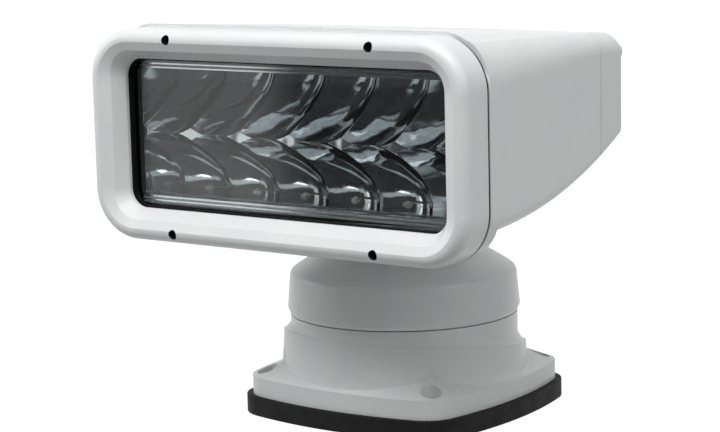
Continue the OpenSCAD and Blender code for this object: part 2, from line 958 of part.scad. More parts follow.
module pan_motor() {
    color("dimgray")
        translate([0, pan_centre, chassis_top])
            difference() {
                cylinder(r = pan_motor_r, h = pan_motor_h);
                translate([0, 0, -cut])
                    cylinder(r = pinion_shaft_r + run_gap, h = pan_motor_h - motor_end + cut);
            }
}

module pan_pinion() {
    color("burlywood")
        translate([0, pan_centre, 0]) {
            translate([0, 0, deck_z + air_gap])
                linear_extrude(height = pan_gear_w - air_gap)
                    rotate(-90 + 180 / pan_pinion_teeth * pinion_turn)
                        gear_outline(pan_pinion_teeth);
            translate([0, 0, deck_z + pan_gear_w])
                cylinder(r = pinion_shaft_r, h = chassis_top - deck_z - pan_gear_w + pinion_grip);
        }
}

module tilt_motor() {
    color("dimgray")
        difference() {
            cross_bar(0, tilt_pinion_z, tilt_motor_r, motor_face, motor_face + tilt_motor_len);
            cross_bar(0, tilt_pinion_z, pinion_shaft_r + run_gap, 0, motor_face + tilt_pinion_grip + 2);
        }
}

module tilt_bracket() {
    color("lightsteelblue")
        difference() {
            union() {
                translate([slot_w / 2, -bracket_w / 2, chassis_top])
                    cube([bracket_t, bracket_w, tilt_pinion_z + tilt_motor_r - 1 - chassis_top]);
                translate([slot_w / 2, -bracket_w / 2, chassis_top])
                    cube([bracket_foot, bracket_w, tilt_pinion_z - tilt_motor_r - chassis_top]);
            }
            cross_bar(0, tilt_pinion_z, pinion_shaft_r + 1, 0, motor_face + cut);
        }
}

// Places its children at the neck's screws
module at_neck_screws() {
    for (a = [45:90:315])
        rotate(a)
            translate([neck_screw_ring, 0, land_z])
                children();
}

module neck() {
    color("whitesmoke")
        difference() {
            union() {
                translate([0, 0, land_z - spigot_h])
                    cylinder(r = spigot_r, h = spigot_h + cut);
                translate([0, 0, land_z])
                    cylinder(r = neck_flange_r, h = neck_flange_t);
                across(lug_w)
                    neck_view();
            }
            across(slot_w)
                slot_view();
            cross_bar(0, tilt_z, tilt_shaft_r + run_gap + tilt_bush_wall, -lug_w, lug_w);
            cross_bar(0, tilt_idler_z, idler_pin_r, -idler_pin_len / 2, idler_pin_len / 2);
            at_neck_screws() {
                translate([0, 0, -cut])
                    cylinder(r = neck_screw_r + fit_gap, h = far);
                translate([0, 0, neck_flange_t - neck_head_sink])
                    cylinder(r = neck_head_r + 2 * fit_gap, h = far);
            }
        }
}

// Side view of the neck's post
module neck_view() {
    translate([0, tilt_z])
        circle(lug_r);
    translate([-lug_r, land_z])
        square([2 * lug_r, tilt_z - land_z]);
}

// Side view of the slot for the tilt gears
module slot_view() {
    translate([0, tilt_z])
        circle(slot_r);
    translate([-slot_r, land_z - spigot_h - cut])
        square([2 * slot_r, tilt_z - land_z + spigot_h + cut]);
}

module neck_screws() {
    color("gainsboro")
        at_neck_screws()
            translate([0, 0, neck_flange_t - neck_head_sink])
                socket_screw(neck_tap_r, neck_flange_t + 1, neck_head_r, neck_head_h);
}

module tilt_bushes() {
    color("tan")
        for (sx = [-1, 1])
            difference() {
                cross_bar(0, tilt_z, tilt_shaft_r + run_gap + tilt_bush_wall,
                    sx * (lug_w / 2 - tilt_bush_len / 2) - tilt_bush_len / 2,
                    sx * (lug_w / 2 - tilt_bush_len / 2) + tilt_bush_len / 2);
                cross_bar(0, tilt_z, tilt_shaft_r + run_gap, -lug_w, lug_w);
            }
}

module tilt_washers() {
    color("ivory")
        for (sx = [-1, 1])
            difference() {
                cross_bar(0, tilt_z, ear_r - tilt_washer_in,
                    sx * (lug_w + tilt_washer_t) / 2 - tilt_washer_t / 2,
                    sx * (lug_w + tilt_washer_t) / 2 + tilt_washer_t / 2);
                cross_bar(0, tilt_z, tilt_shaft_r + washer_gap, -lug_w, lug_w);
            }
}

module idler_pin() {
    color("gainsboro")
        cross_bar(0, tilt_idler_z, idler_pin_r - run_gap,
            -idler_pin_len / 2 + fit_gap, idler_pin_len / 2 - fit_gap);
}

// Gear that turns about a level axis, its first tooth turned from straight up
module level_gear(z, teeth, turn) {
    translate([-tilt_gear_w / 2, 0, z])
        rotate([90, 0, 90])
            linear_extrude(height = tilt_gear_w)
                rotate(90 + turn)
                    gear_outline(teeth);
}

module tilt_idler() {
    color("burlywood")
        difference() {
            level_gear(tilt_idler_z, tilt_idler_teeth, 180 / tilt_idler_teeth);
            cross_bar(0, tilt_idler_z, idler_pin_r, -lug_w, lug_w);
        }
}

module tilt_pinion() {
    color("burlywood") {
        level_gear(tilt_pinion_z, tilt_pinion_teeth,
            tilt_idler_teeth % 2 == 0 ? 0 : 180 / tilt_pinion_teeth);
        cross_bar(0, tilt_pinion_z, pinion_shaft_r, 0, motor_face + tilt_pinion_grip);
    }
}

// Head

module bezel() {
    bowl_grow = window_setback / tan(bowl_angle);
    throat_grow = window_setback / tan(throat_angle);
    color("whitesmoke")
        in_head()
            difference() {
                rotate([-90, 0, 0])
                    bezel_block();
                tapered_block(head_w - 2 * rim_w - 2 * bowl_grow, head_h - 2 * rim_w - 2 * bowl_grow, 1,
                    bowl_grow, 0, window_setback);
                tapered_block(window_w, window_h, window_r, throat_grow, 0, window_setback);
                along_depth(-cut, bezel_depth)
                    rounded_rect(window_w, window_h, window_r);
                along_depth(seal_back, bezel_depth + cut)
                    rounded_rect(lens_w + 2 * fit_gap, lens_h + 2 * fit_gap, lens_r + fit_gap);
                at_bezel_screws() {
                    depth_bar(0, 0, bezel_screw_r + fit_gap, -cut, bezel_depth + cut);
                    depth_bar(0, 0, bezel_pocket_r, -cut, bezel_head_seat);
                }
            }
}

// Block of the bezel lying on its front face: four corners, four sides and the middle
module bezel_block() {
    linear_extrude(height = bezel_depth)
        square([2 * corner_x, 2 * corner_z], center = true);
    for (k = [0:3])
        translate([(k % 3 == 0 ? 1 : -1) * corner_x, (k < 2 ? 1 : -1) * corner_z, 0])
            rotate(90 * k)
                rotate_extrude(angle = 90)
                    rim_section();
    for (k = [0:3]) {
        half = k % 2 == 0 ? corner_z : corner_x;
        rotate(90 * k)
            translate([k % 2 == 0 ? corner_x : corner_z, half, 0])
                rotate([90, 0, 0])
                    linear_extrude(height = 2 * half)
                        rim_section();
    }
}

// Section of the bezel from a corner's middle out, with its rounded front edge
module rim_section() {
    translate([0, rim_fillet])
        square([head_corner_r, bezel_depth - rim_fillet]);
    square([head_corner_r - rim_fillet, bezel_depth]);
    translate([head_corner_r - rim_fillet, rim_fillet])
        circle(rim_fillet);
}

module bezel_screws() {
    color("gainsboro")
        in_head()
            at_bezel_screws()
                translate([0, bezel_head_seat, 0])
                    rotate([90, 0, 0])
                        socket_screw(bezel_screw_r - run_gap, flange_back - bezel_head_seat - 4 * cut,
                            bezel_head_r, bezel_head_h);
}

module lens_seal() {
    color("#17181a")
        in_head()
            difference() {
                union() {
                    along_depth(seal_back, lens_front)
                        rounded_rect(lens_w, lens_h, lens_r);
                    along_depth(window_setback + 2 * fit_gap, seal_back)
                        rounded_rect(window_w - 2 * fit_gap, window_h - 2 * fit_gap, window_r - fit_gap);
                }
                along_depth(0, bezel_depth)
                    rounded_rect(window_w - 2 * seal_show, window_h - 2 * seal_show, window_r - seal_show);
            }
}

module lens() {
    color("lightblue", 0.35)
        in_head()
            along_depth(lens_front, bezel_depth)
                rounded_rect(lens_w, lens_h, lens_r);
}

module housing_gasket() {
    color("#17181a")
        in_head()
            difference() {
                along_depth(bezel_depth, flange_front)
                    rounded_rect(head_w - 2 * gasket_in, head_h - 2 * gasket_in, head_corner_r - gasket_in);
                along_depth(0, far)
                    rounded_rect(lens_w - 2 * gasket_lap, lens_h - 2 * gasket_lap, lens_r - gasket_lap);
                at_bezel_screws()
                    depth_bar(0, 0, bezel_screw_r + fit_gap, 0, far);
            }
}

module main_housing() {
    color("whitesmoke")
        in_head()
            difference() {
                union() {
                    along_depth(flange_front, flange_back)
                        head_outline();
                    head_form(0, flange_front + 1, cover_start);
                    ears();
                }
                ribs();
                along_depth(flange_front - cut, flange_back - 2)
                    rounded_rect(lens_w + 4, lens_h, lens_r);
                difference() {
                    head_form(wall, flange_front - cut, cover_start + cut);
                    sink_ledges();
                    rear_bosses();
                }
                board_seat();
                at_bezel_screws()
                    depth_bar(0, 0, bezel_screw_r, flange_front - cut, flange_back - 1.5);
                at_rear_screws()
                    depth_bar(0, 0, rear_tap_r, cover_start - rear_grip - 4, far);
                cross_bar(head_reach, -head_rise, tilt_shaft_r, -far, far);
            }
}

// Valleys between the ribs of the top
module ribs() {
    crest_x = (rib_count - 1) / 2 * rib_pitch;
    translate([0, flange_back, top_z])
        rotate([-top_fall, 0, 0])
            along_depth(-1, far / 2)
                difference() {
                    translate([-crest_x, -rib_depth])
                        square([2 * crest_x, rib_depth + 4]);
                    for (k = [0:rib_count - 1])
                        translate([k * rib_pitch - crest_x, -rib_r])
                            circle(rib_r, $fn = fine);
                }
}

// Two ears under the belly, rounded about the tilt axis
module ears() {
    for (sx = [-1, 1])
        translate([sx * (ear_in + ear_out) / 2, 0, 0])
            across(ear_t) {
                translate([head_reach, -head_rise])
                    circle(ear_r);
                translate([head_reach - ear_r, -head_rise])
                    square([2 * ear_r, head_rise]);
            }
}

// Ledges on the side walls under the heat sink's edges
module sink_ledges() {
    for (sx = [-1, 1])
        translate([sx * (sink_w / 2 - shelf_in + far / 2), (sink_front + sink_back) / 2,
            sink_z - shelf_h / 2])
            cube([far, sink_back - sink_front - 20, shelf_h], center = true);
}

// Seat of the lower emitter board in the floor
module board_seat() {
    seat_w = reflector_w + 2;
    seat_front = flange_back - 3;
    translate([-seat_w / 2, seat_front, -cup_axis - board_t - fit_gap])
        cube([seat_w, board_back + 1 - seat_front, cup_axis]);
    translate([-seat_w / 2, seat_front, -cup_axis - fit_gap])
        cube([seat_w, cup_back + cup_wall + 1 - seat_front, cup_axis]);
}

// Posts for the rear cover's screws, each with a web to the wall beside it
module rear_bosses() {
    at_rear_screws()
        depth_bar(0, 0, rear_boss_r, cover_start - rear_boss_len, cover_start);
    for (sx = [-1, 1]) {
        translate([sx * (rear_screw_out + far / 2), cover_start - rear_boss_len / 2, rear_screw_low])
            cube([far, rear_boss_len, rear_boss_r], center = true);
        translate([sx * rear_screw_x, cover_start - rear_boss_len / 2, rear_screw_high + far / 2])
            cube([rear_boss_r, rear_boss_len, far], center = true);
    }
}

module rear_cover() {
    color("whitesmoke")
        in_head()
            difference() {
                union() {
                    head_form(0, cover_start + seam_w, far);
                    head_form(seam_in, cover_start, cover_start + seam_w);
                }
                ribs();
                head_form(wall, cover_start - cut, far);
                at_rear_screws() {
                    depth_bar(0, 0, rear_screw_r + fit_gap, 0, far);
                    depth_bar(0, 0, rear_head_r + fit_gap, cover_end - rear_head_sink, far);
                }
                depth_bar(vent_x, vent_z, vent_bore_r, 0, far);
                depth_bar(vent_x, vent_z, vent_r + fit_gap, cover_end - vent_seat, far);
            }
}

module rear_screws() {
    color("gainsboro")
        in_head()
            at_rear_screws()
                translate([0, cover_end - rear_head_sink, 0])
                    rotate([-90, 0, 0])
                        socket_screw(rear_tap_r - run_gap,
                            cover_end - rear_head_sink - cover_start + rear_grip,
                            rear_head_r, rear_head_h);
}

module vent_plug() {
    color("whitesmoke")
        in_head() {
            depth_bar(vent_x, vent_z, vent_bore_r - run_gap, cover_end - wall, cover_end - vent_seat);
            depth_bar(vent_x, vent_z, vent_r, cover_end - vent_seat, cover_end + vent_h - vent_shoulder);
            depth_bar(vent_x, vent_z, vent_r - vent_shoulder, cover_end + vent_h - vent_shoulder,
                cover_end + vent_h);
        }
}

// Places its children at the upper half cups and, upside down, at the lower ones
module at_cups() {
    for (k = [0:cup_columns - 1], turn = [0, 180])
        rotate([0, turn, 0])
            translate([(k - (cup_columns - 1) / 2) * cup_pitch, 0, cup_axis])
                children();
}

module reflector_array() {
    plate_w = lens_w - 2 * gasket_lap - 1;
    plate_h = lens_h - 2 * gasket_lap - 1;
    color("lightgray")
        in_head()
            difference() {
                union() {
                    along_depth(cup_front, cup_front + cup_rim_t)
                        rounded_rect(plate_w, plate_h, lens_r - gasket_lap);
                    along_depth(cup_front, cup_back + cup_wall)
                        square([reflector_w, 2 * cup_axis], center = true);
                    for (sz = [-1, 1], k = [1, 3])
                        along_depth(cup_front - rim_step_out, cup_front)
                            translate([0, sz * (cup_axis + (k + 0.5) * rim_step_h)])
                                square([reflector_w, rim_step_h], center = true);
                }
                at_cups()
                    cup_cell();
            }
}

// Room of one half cup: the paraboloid within its cell
module cup_cell() {
    intersection() {
        translate([0, cup_back, 0])
            rotate([90, 0, 0])
                rotate_extrude()
                    cup_section();
        translate([0, cup_front, -cup_axis / 2])
            cube([cup_pitch, 3 * cup_depth, cup_axis], center = true);
    }
}

// Half of a parabola, from its tip up past the mouth
module cup_section() {
    top = cup_depth + 1;
    edge_r = sqrt(4 * cup_focus * top);
    polygon(concat([[0, top]],
        [for (k = [cup_steps:-1:0])
            let (r = edge_r * k / cup_steps)
            [r, r * r / (4 * cup_focus)]]));
}

module led_boards() {
    color("white")
        in_head()
            for (turn = [0, 180])
                rotate([0, turn, 0])
                    translate([-reflector_w / 2, board_front, cup_axis])
                        cube([reflector_w, board_back - board_front, board_t]);
}

module led_emitters() {
    color("gold")
        in_head()
            at_cups()
                translate([0, emitter_d, -emitter_t]) {
                    cylinder(r = emitter_r, h = emitter_t);
                    translate([0, 0, -dome_h])
                        cylinder(r1 = dome_tip_r, r2 = dome_r, h = dome_h);
                }
}

module heat_sink() {
    color("silver")
        in_head() {
            translate([-sink_w / 2, sink_front, sink_z])
                cube([sink_w, sink_back - sink_front, sink_t]);
            for (k = [0:fin_count - 1])
                translate([(k - (fin_count - 1) / 2) * fin_pitch - fin_t / 2, sink_front, sink_z + sink_t])
                    cube([fin_t, sink_back - sink_front, fin_h]);
            for (sx = [-1, 1], d = [driver_front + driver_edge, driver_back - driver_edge])
                translate([sx * (driver_w / 2 - driver_edge), d, sink_z - driver_gap])
                    cylinder(r = driver_post_r, h = driver_gap);
        }
}

module driver_board() {
    color("seagreen")
        in_head()
            translate([0, 0, sink_z - driver_gap - driver_t]) {
                translate([-driver_w / 2, driver_front, 0])
                    cube([driver_w, driver_back - driver_front, driver_t]);
                for (x = [-1:1])
                    translate([x * driver_part_pitch - driver_part_w / 2, driver_front + driver_edge,
                        -driver_part_h])
                        cube([driver_part_w, driver_back - driver_front - 2 * driver_edge, driver_part_h]);
            }
}

module tilt_shaft() {
    color("gainsboro")
        difference() {
            cross_bar(0, tilt_z, tilt_shaft_r, -ear_out + tilt_shaft_in, ear_out - tilt_shaft_in);
            cross_bar(0, tilt_z, tilt_shaft_r - tilt_shaft_wall, -far, far);
        }
}

module tilt_gear() {
    color("burlywood")
        difference() {
            level_gear(tilt_z, tilt_gear_teeth, tilt_gear_teeth % 2 == 0 ? 0 : 180 / tilt_gear_teeth);
            cross_bar(0, tilt_z, tilt_shaft_r, -lug_w, lug_w);
        }
}

module tilt_caps() {
    color("#26272a")
        for (sx = [-1, 1]) {
            plug = sx * (ear_out - tilt_shaft_in / 2);
            disc = sx * (ear_out + cap_t / 2);
            cross_bar(0, tilt_z, tilt_shaft_r - run_gap,
                plug - tilt_shaft_in / 2, plug + tilt_shaft_in / 2);
            cross_bar(0, tilt_z, tilt_shaft_r + cap_lap, disc - cap_t / 2, disc + cap_t / 2);
        }
}

base_shell();
mounting_pad();
bottom_plate();
bottom_screws();
cable_gland();
control_board();
pan_bush();
thrust_washer();
pan_gear();
turret_shell();
turret_seal();
chassis_plate();
chassis_screws();
pan_shaft();
pan_nut();
pan_motor();
tilt_motor();
tilt_bracket();
neck();
neck_screws();
tilt_bushes();
tilt_washers();
idler_pin();
pan_pinion();
tilt_idler();
tilt_pinion();
bezel();
bezel_screws();
lens_seal();
lens();
housing_gasket();
main_housing();
rear_cover();
rear_screws();
vent_plug();
reflector_array();
led_boards();
led_emitters();
heat_sink();
driver_board();
tilt_shaft();
tilt_gear();
tilt_caps();
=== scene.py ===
import json
import math

import bmesh
import bpy
from mathutils import Matrix, Vector


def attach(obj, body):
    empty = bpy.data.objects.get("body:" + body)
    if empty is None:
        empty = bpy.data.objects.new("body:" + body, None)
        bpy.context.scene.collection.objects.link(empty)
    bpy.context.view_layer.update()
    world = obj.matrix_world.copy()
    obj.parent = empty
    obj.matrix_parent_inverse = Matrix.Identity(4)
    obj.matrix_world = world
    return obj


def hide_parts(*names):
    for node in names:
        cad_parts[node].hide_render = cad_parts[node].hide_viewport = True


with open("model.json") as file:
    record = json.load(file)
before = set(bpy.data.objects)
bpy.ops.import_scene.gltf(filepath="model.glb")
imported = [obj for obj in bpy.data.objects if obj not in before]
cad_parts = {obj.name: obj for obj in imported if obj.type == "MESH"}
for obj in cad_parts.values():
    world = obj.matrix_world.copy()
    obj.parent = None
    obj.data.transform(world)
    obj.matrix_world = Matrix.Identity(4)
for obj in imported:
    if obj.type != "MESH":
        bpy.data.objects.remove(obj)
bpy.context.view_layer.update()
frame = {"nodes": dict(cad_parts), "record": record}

MM = 0.001
BODY_OF = {n: b for b, members in frame["record"]["behaviour"]["bodies"].items() for n in members}
SLOT_OF = {s["node"]: s["material_slot"] for s in frame["record"]["subparts"]}

# Places repeated from the part's source, in metres: the lens faces -Y and depth runs back from the front face
HEAD_FRONT = -117.5 * MM
HEAD_Z = 156.7 * MM
CUP_FRONT = 21 * MM
CUP_AXIS = 34 * MM
CUP_R = 34.9 * MM
CUP_FOCUS = 7.4 * MM
CUP_PITCH = 32.65 * MM
CUP_COLUMNS = 6
CUP_BACK = CUP_FRONT + CUP_R ** 2 / (4 * CUP_FOCUS)
SEAL_BACK = 13.2 * MM
BEZEL_SCREW_X = 64.2 * MM
BEZEL_SCREW_Z = 50.75 * MM
POCKET_R = 2.7 * MM
FLANGE_BACK = 30 * MM
COVER_START = 138 * MM
HOUSING_SIDE = 118.75 * MM
HOUSING_TOP = 57.55 * MM
SIDE_DRAFT = math.tan(math.radians(3))
TOP_FALL = math.tan(math.radians(4.2))
REAR_CORNER = 12 * MM
FRONT_CORNER = 27 * MM

# How closely points are merged, how flat a joint is dissolved and from what angle an edge is broken
SAME_POINT = 0.002 * MM
NO_LENGTH = 0.01 * MM
FLAT_JOINT = math.radians(0.5)
BROKEN_FROM = math.radians(38)

# Nearly all of a noise lies between these two values
NOISE_LOW, NOISE_HIGH = 0.3, 0.7


def linear(colour):
    """An sRGB hex colour as linear red, green, blue and alpha."""
    parts = [int(colour[i:i + 2], 16) / 255 for i in (0, 2, 4)]
    return [c / 12.92 if c <= 0.04045 else ((c + 0.055) / 1.055) ** 2.4 for c in parts] + [1.0]


def per_mm(size):
    """Scale of a texture on Object coordinates whose features are that many millimetres wide."""
    return 1000 / size


def bare_tree(owner):
    """The emptied node tree of a material or a world."""
    owner.use_nodes = True
    owner.node_tree.nodes.clear()
    return owner.node_tree


def put(tree, kind, inputs=None, **settings):
    """Adds a node with its settings, and its inputs as values or as links from other sockets."""
    made = tree.nodes.new("ShaderNode" + kind)
    for key, value in settings.items():
        setattr(made, key, value)
    for key, value in (inputs or {}).items():
        if isinstance(value, bpy.types.NodeSocket):
            tree.links.new(value, made.inputs[key])
        else:
            made.inputs[key].default_value = value
    return made


def surface(name, inputs):
    """A material with one Principled shader, its tree, the shader and the Object coordinates."""
    made = bpy.data.materials.new(name)
    tree = bare_tree(made)
    shader = put(tree, "BsdfPrincipled", inputs)
    put(tree, "OutputMaterial", {"Surface": shader.outputs["BSDF"]})
    where = put(tree, "TexCoord").outputs["Object"]
    return made, tree, shader, where


def grain(tree, shader, where, size, strength, depth):
    """A fine moulded unevenness of that many millimetres, as a bump of that depth in millimetres."""
    noise = put(tree, "TexNoise", {"Vector": where, "Scale": per_mm(size), "Detail": 3.0})
    bump = put(tree, "Bump", {"Height": noise.outputs["Fac"], "Strength": strength, "Distance": depth * MM})
    tree.links.new(bump.outputs["Normal"], shader.inputs["Normal"])


def shades(tree, shader, socket, factor, low, high):
    """Runs a factor between two shades or two roughnesses into one socket of the shader."""
    if isinstance(low, str):
        ramp = put(tree, "ValToRGB", {"Fac": factor})
        first, last = ramp.color_ramp.elements
        first.position, last.position = NOISE_LOW, NOISE_HIGH
        first.color, last.color = linear(low), linear(high)
        result = ramp.outputs["Color"]
    else:
        span = put(tree, "MapRange", {"Value": factor, "From Min": NOISE_LOW, "From Max": NOISE_HIGH,
                                      "To Min": low, "To Max": high})
        result = span.outputs["Result"]
    tree.links.new(result, shader.inputs[socket])


# Materials

# White ASA, injection moulded: a satin shell, very slightly uneven in gloss where the mould was polished by hand
white_asa, tree, shader, where = surface("white_moulded_asa", {
    "IOR": 1.5, "Coat Weight": 0.15, "Coat Roughness": 0.2})
patch = put(tree, "TexNoise", {"Vector": where, "Scale": per_mm(38), "Detail": 4.0})
shades(tree, shader, "Base Color", patch.outputs["Fac"], "E9EBEC", "EFF0F0")
shades(tree, shader, "Roughness", patch.outputs["Fac"], 0.34, 0.42)
grain(tree, shader, where, size=0.9, strength=0.12, depth=0.02)

# Black EPDM rubber, compression moulded: dull, with a fine grain and a grey bloom in patches
black_rubber, tree, shader, where = surface("black_epdm_rubber", {"IOR": 1.52, "Specular IOR Level": 0.2})
bloom = put(tree, "TexNoise", {"Vector": where, "Scale": per_mm(9), "Detail": 5.0})
shades(tree, shader, "Base Color", bloom.outputs["Fac"], "08080A", "101011")
shades(tree, shader, "Roughness", bloom.outputs["Fac"], 0.62, 0.78)
grain(tree, shader, where, size=1.1, strength=0.35, depth=0.12)

# Toughened glass, ground flat: clear, with a trace of grey-green in its thickness
clear_glass = surface("toughened_glass", {
    "Base Color": linear("F4F8F7"), "Roughness": 0.0, "IOR": 1.5, "Transmission Weight": 1.0})[0]

# Vacuum-metallised polycarbonate: a mirror that runs dark between its bright streaks, a little duller in patches
mirror_cups, tree, shader, where = surface("metallised_polycarbonate", {"Metallic": 1.0})
vapour = put(tree, "TexNoise", {"Vector": where, "Scale": per_mm(14), "Detail": 2.0})
shades(tree, shader, "Base Color", vapour.outputs["Fac"], "D6DADD", "E2E5E7")
shades(tree, shader, "Roughness", vapour.outputs["Fac"], 0.03, 0.07)
# The film is crumpled where the two rows meet and smooth towards the emitters
height = put(tree, "SeparateXYZ", {"Vector": where}).outputs["Z"]
from_middle = put(tree, "Math", {0: height, 1: HEAD_Z}, operation="SUBTRACT")
beside = put(tree, "Math", {0: from_middle.outputs[0]}, operation="ABSOLUTE")
slack = put(tree, "MapRange", {"Value": beside.outputs[0], "From Min": 6 * MM, "From Max": 20 * MM,
                               "To Min": 0.45, "To Max": 0.0}, interpolation_type="SMOOTHSTEP")
crease = put(tree, "TexNoise", {"Vector": where, "Scale": per_mm(12), "Detail": 0.6})
bump = put(tree, "Bump", {"Height": crease.outputs["Fac"], "Strength": slack.outputs["Result"],
                          "Distance": 1.6 * MM})
tree.links.new(bump.outputs["Normal"], shader.inputs["Normal"])

# The same metal film on the etched flats round the cups: an even satin grey
satin_film, tree, shader, where = surface("etched_metallised_polycarbonate", {
    "Base Color": linear("B4B9BC"), "Metallic": 0.25})
etch = put(tree, "TexNoise", {"Vector": where, "Scale": per_mm(1.5), "Detail": 3.0})
shades(tree, shader, "Roughness", etch.outputs["Fac"], 0.42, 0.52)

# Extruded and milled aluminium: fine lines along the cut and a pale grey sheen
milled_aluminium, tree, shader, where = surface("milled_aluminium", {"Metallic": 1.0})
lines = put(tree, "Mapping", {"Vector": where, "Scale": (1.0, 12.0, 12.0)})
cutter = put(tree, "TexNoise", {"Vector": lines.outputs["Vector"], "Scale": per_mm(6), "Detail": 4.0})
shades(tree, shader, "Base Color", cutter.outputs["Fac"], "B4B7BA", "D0D2D4")
shades(tree, shader, "Roughness", cutter.outputs["Fac"], 0.3, 0.45)

# Stainless steel, cold headed and passivated: bright, with faint turning marks
stainless, tree, shader, where = surface("stainless_steel", {"Metallic": 1.0, "Base Color": linear("C6C7C8")})
turning = put(tree, "TexNoise", {"Vector": where, "Scale": per_mm(1.2), "Detail": 2.0})
shades(tree, shader, "Roughness", turning.outputs["Fac"], 0.18, 0.32)

# Bearing bronze, turned: warm, dulled by a film of oil
bronze, tree, shader, where = surface("turned_bronze", {"Metallic": 1.0})
film = put(tree, "TexNoise", {"Vector": where, "Scale": per_mm(5), "Detail": 3.0})
shades(tree, shader, "Base Color", film.outputs["Fac"], "A8813F", "C79C58")
shades(tree, shader, "Roughness", film.outputs["Fac"], 0.25, 0.4)

# Natural acetal, machined or moulded gears: milky and waxy
acetal, tree, shader, where = surface("natural_acetal", {"IOR": 1.48})
milk = put(tree, "TexNoise", {"Vector": where, "Scale": per_mm(7), "Detail": 3.0})
shades(tree, shader, "Base Color", milk.outputs["Fac"], "DCD8CB", "E6E3D8")
shades(tree, shader, "Roughness", milk.outputs["Fac"], 0.3, 0.4)

# Black glass-filled nylon: matt, with a faint flow pattern
black_nylon, tree, shader, where = surface("black_glass_filled_nylon", {"IOR": 1.53})
flow = put(tree, "TexNoise", {"Vector": where, "Scale": per_mm(3), "Detail": 4.0})
shades(tree, shader, "Base Color", flow.outputs["Fac"], "1A1A1B", "262627")
shades(tree, shader, "Roughness", flow.outputs["Fac"], 0.45, 0.6)
grain(tree, shader, where, size=0.7, strength=0.2, depth=0.04)

# Green solder mask over glass-fibre board: glossy, with the weave just showing
solder_mask, tree, shader, where = surface("green_solder_mask", {"IOR": 1.5})
weave = put(tree, "TexVoronoi", {"Vector": where, "Scale": per_mm(1.6)})
shades(tree, shader, "Base Color", weave.outputs["Distance"], "12442A", "1B5636")
shades(tree, shader, "Roughness", weave.outputs["Distance"], 0.25, 0.35)

# Bright-rolled aluminium on the emitter boards: a dull mirror, so that the cups meet their own streaks in it
bright_rolled, tree, shader, where = surface("bright_rolled_aluminium", {"Metallic": 1.0})
rolling = put(tree, "TexNoise", {"Vector": where, "Scale": per_mm(3), "Detail": 3.0})
shades(tree, shader, "Base Color", rolling.outputs["Fac"], "B9BDC0", "C9CCCE")
shades(tree, shader, "Roughness", rolling.outputs["Fac"], 0.08, 0.14)

# Phosphor under frosted silicone: a pale cream with a soft gloss
phosphor, tree, shader, where = surface("silicone_over_phosphor", {"IOR": 1.41})
powder = put(tree, "TexNoise", {"Vector": where, "Scale": per_mm(0.5), "Detail": 2.0})
shades(tree, shader, "Base Color", powder.outputs["Fac"], "E0DED4", "EAE9E2")
shades(tree, shader, "Roughness", powder.outputs["Fac"], 0.2, 0.3)

# Motor can, black passivated steel: dark with a dull metal sheen
motor_can, tree, shader, where = surface("black_passivated_steel", {"Metallic": 0.8})
rub = put(tree, "TexNoise", {"Vector": where, "Scale": per_mm(8), "Detail": 5.0})
shades(tree, shader, "Base Color", rub.outputs["Fac"], "2A2B2D", "3B3C3F")
shades(tree, shader, "Roughness", rub.outputs["Fac"], 0.35, 0.5)

FINISH = {
    "white_shell": white_asa, "black_rubber": black_rubber, "clear_glass": clear_glass, "mirror_cups": mirror_cups,
    "bare_aluminium": milled_aluminium, "stainless_steel": stainless, "bearing_brass": bronze,
    "gear_plastic": acetal, "black_plastic": black_nylon, "circuit_board": solder_mask,
    "white_board": bright_rolled, "emitter": phosphor, "motor_can": motor_can}

for name, cad in frame["nodes"].items():
    cad.data.materials.clear()
    cad.data.materials.append(FINISH[SLOT_OF[name]])
# The bezel's screws get the dark steel as painted shade, so that their pockets read dark like deep shadowed holes
frame["nodes"]["bezel_screws"].data.materials[0] = motor_can


# Pieces

def merged_copy(node):
    """A bmesh of a CAD node, with its loose triangles merged into whole faces."""
    bm = bmesh.new()
    bm.from_mesh(frame["nodes"][node].data)
    bmesh.ops.remove_doubles(bm, verts=bm.verts, dist=SAME_POINT)
    bmesh.ops.dissolve_limit(bm, angle_limit=FLAT_JOINT, verts=bm.verts, edges=bm.edges)
    return bm


def place(bm, node, name, sharp=35):
    """Makes a bmesh a finished piece that stands for a CAD node, with edges sharp from that many degrees."""
    mesh = bpy.data.meshes.new(name)
    bm.to_mesh(mesh)
    bm.free()
    # Normals carried over from the CAD mesh would override the piece's own
    for extra in [a for a in mesh.attributes if a.name == "custom_normal"]:
        mesh.attributes.remove(extra)
    mesh.materials.append(FINISH[SLOT_OF[node]])
    mesh.shade_smooth()
    mesh.set_sharp_from_angle(angle=math.radians(sharp))
    piece = bpy.data.objects.new(name, mesh)
    bpy.context.scene.collection.objects.link(piece)
    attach(piece, BODY_OF[node])
    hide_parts(node)
    return piece


def cut(bm, point, normal):
    """Adds a line of edges where a plane meets the mesh."""
    bmesh.ops.bisect_plane(bm, geom=bm.verts[:] + bm.edges[:] + bm.faces[:], dist=NO_LENGTH,
                           plane_co=point, plane_no=normal)


# The housing's upper corners are cut this often, this far apart in the front view and in depth
CORNER_CUTS = 12
CUT_SPACING = 2.4 * MM
CUT_DEPTH = 9 * MM


